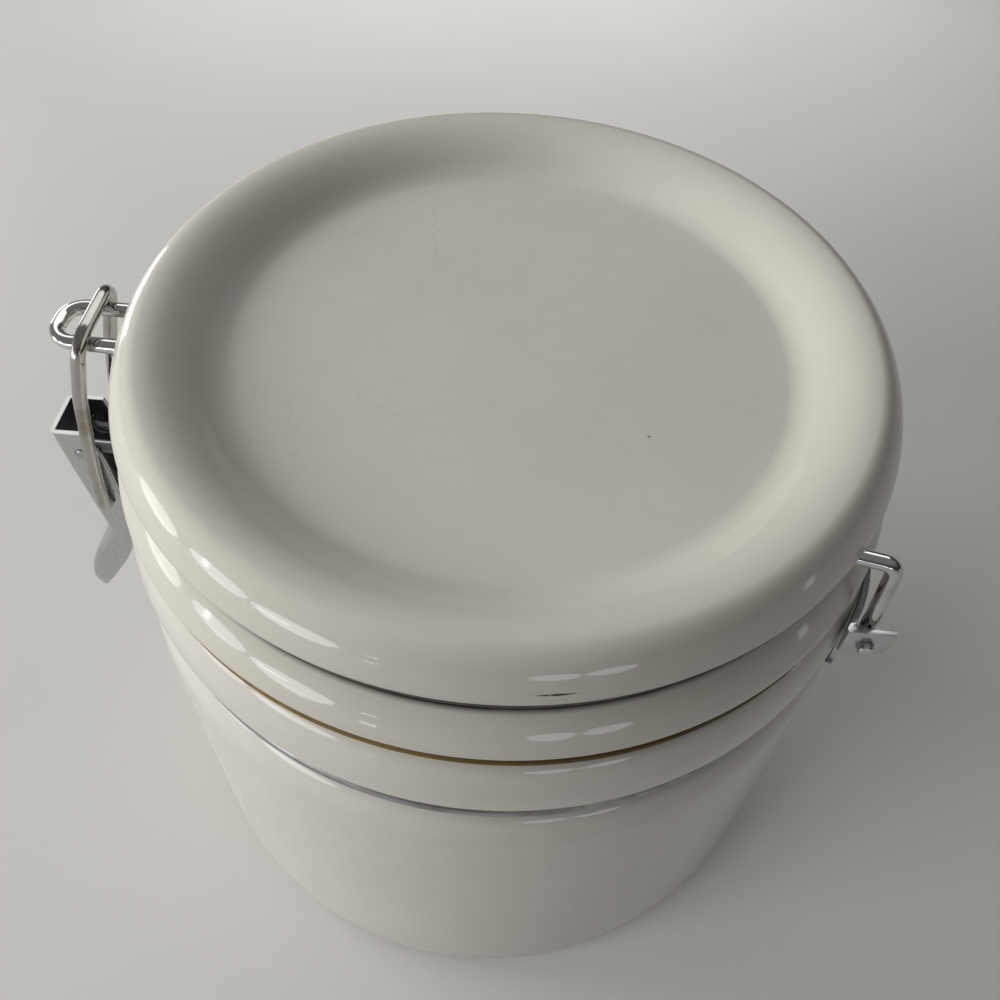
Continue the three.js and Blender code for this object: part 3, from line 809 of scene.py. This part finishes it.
def window(name, az0, az1, el0, el1, dist, radiance, colour, cols=2, rows=1, bar=0.10, shape="RECTANGLE"):
    """Panes with bars between them."""
    w = 2 * dist * math.tan(math.radians(az1 - az0) / 2)
    h = dist * (math.tan(math.radians(el1)) - math.tan(math.radians(el0)))
    for i in range(cols):
        for j in range(rows):
            az = az0 + (az1 - az0) * (i + 0.5) / cols
            el = el0 + (el1 - el0) * (j + 0.5) / rows
            area(f"{name}_{i}{j}", az, el, dist, w / cols * (1 - bar), h / rows * (1 - bar), radiance, colour, diffuse=False, shape=shape)


ware = bpy.data.collections.new("ware")             # lit by everything but the floor's own lamps
ware.objects.link(floor)
ware.collection_objects[0].light_linking.link_state = "EXCLUDE"
ground = bpy.data.collections.new("ground")
ground.objects.link(floor)
metal = bpy.data.collections.new("metal")
for o in metal_objects:
    metal.objects.link(o)

area("key", 168, 24, 0.90, 0.56, 0.38, 4.0, (1.0, 0.985, 0.955), glossy=False)
area("key2", 201, 20, 0.90, 0.56, 0.34, 7.9, (1.0, 0.985, 0.955), glossy=False).light_linking.receiver_collection = ware
area("key2_floor", 217, 21, 0.90, 0.50, 0.34, 5.75, (1.0, 0.985, 0.96), glossy=False).light_linking.receiver_collection = ground
area("top_floor", 90, 90, 0.20, 0.36, 0.15, 2.2, (1.0, 0.99, 0.975), glossy=False, aim=(-0.03, 0.42, 0)).light_linking.receiver_collection = ground
area("low_floor", 325, 70, 1.00, 0.80, 0.80, 0.31, (1.0, 0.985, 0.965), glossy=False, aim=(0, -0.05, 0)).light_linking.receiver_collection = ground
area("back", 122, 38, 1.00, 0.80, 0.60, 0.95, (1.0, 0.99, 0.97), glossy=False).light_linking.receiver_collection = ware
area("fill", 5, 70, 1.00, 0.80, 0.80, 0.26, (1.0, 0.97, 0.93), glossy=False).light_linking.receiver_collection = ware
area("ceiling", 92, 50, 1.20, 1.90, 0.60, 1.45, (1.0, 0.99, 0.97), diffuse=False).light_linking.receiver_collection = metal
window("w1", 182, 198, -12, 7, 0.36, 2.8, (1.0, 0.99, 0.96), 1, 1, 0.0, "ELLIPSE")
window("w2", 202, 219, -9, 6, 0.36, 2.8, (0.90, 0.95, 1.0), 1, 1, 0.0, "ELLIPSE")
window("w3", 220, 241, -10, 3, 0.36, 3.0, (1.0, 0.99, 0.97), 1, 1, 0.0, "ELLIPSE")
area("slit1", 207, 1, 0.355, 0.012, 0.06, 5.0, (0.95, 0.97, 1.0), diffuse=False)
area("slit2", 226, -4, 0.355, 0.05, 0.010, 4.5, (0.97, 0.98, 1.0), diffuse=False)
area("slit3", 248.5, -2, 0.355, 0.020, 0.007, 5.0, (0.98, 0.98, 1.0), diffuse=False)
area("slit4", 248.5, -9, 0.355, 0.020, 0.005, 5.0, (0.98, 0.98, 1.0), diffuse=False)
window("w5", 281, 305, -6, 3, 0.36, 1.75, (0.86, 0.91, 1.0), 2, 1, 0.10, "ELLIPSE")
window("w6", 345, 348, -10, 0, 0.36, 1.2, (0.95, 0.97, 1.0), 1, 1, 0.0)
window("w7", 136, 152, -12, 8, 0.36, 3.0, (1.0, 0.99, 0.97), 1, 1, 0.0)

world = bpy.data.worlds.new("studio")
bpy.context.scene.world = world
world.use_nodes = True
n = Nodes(world.node_tree)
bg = world.node_tree.nodes["Background"]
tc = n.add("ShaderNodeTexCoord")
sep = n.add("ShaderNodeSeparateXYZ")
n.link(tc.outputs["Generated"], sep.inputs[0])
side = n.step(sep.outputs[0], -1.0, 0.35, 1.0, 0.0)
up = n.step(sep.outputs[2], 0.15, 0.75, 0.0, 1.0)
col = n.mix(side, (0.035, 0.034, 0.033), (0.25, 0.248, 0.242))
col = n.mix(up, col, (0.190, 0.188, 0.184))
n.link(col, bg.inputs["Color"])
bg.inputs["Strength"].default_value = 1.0

bpy.context.scene.view_settings.view_transform = "Standard"
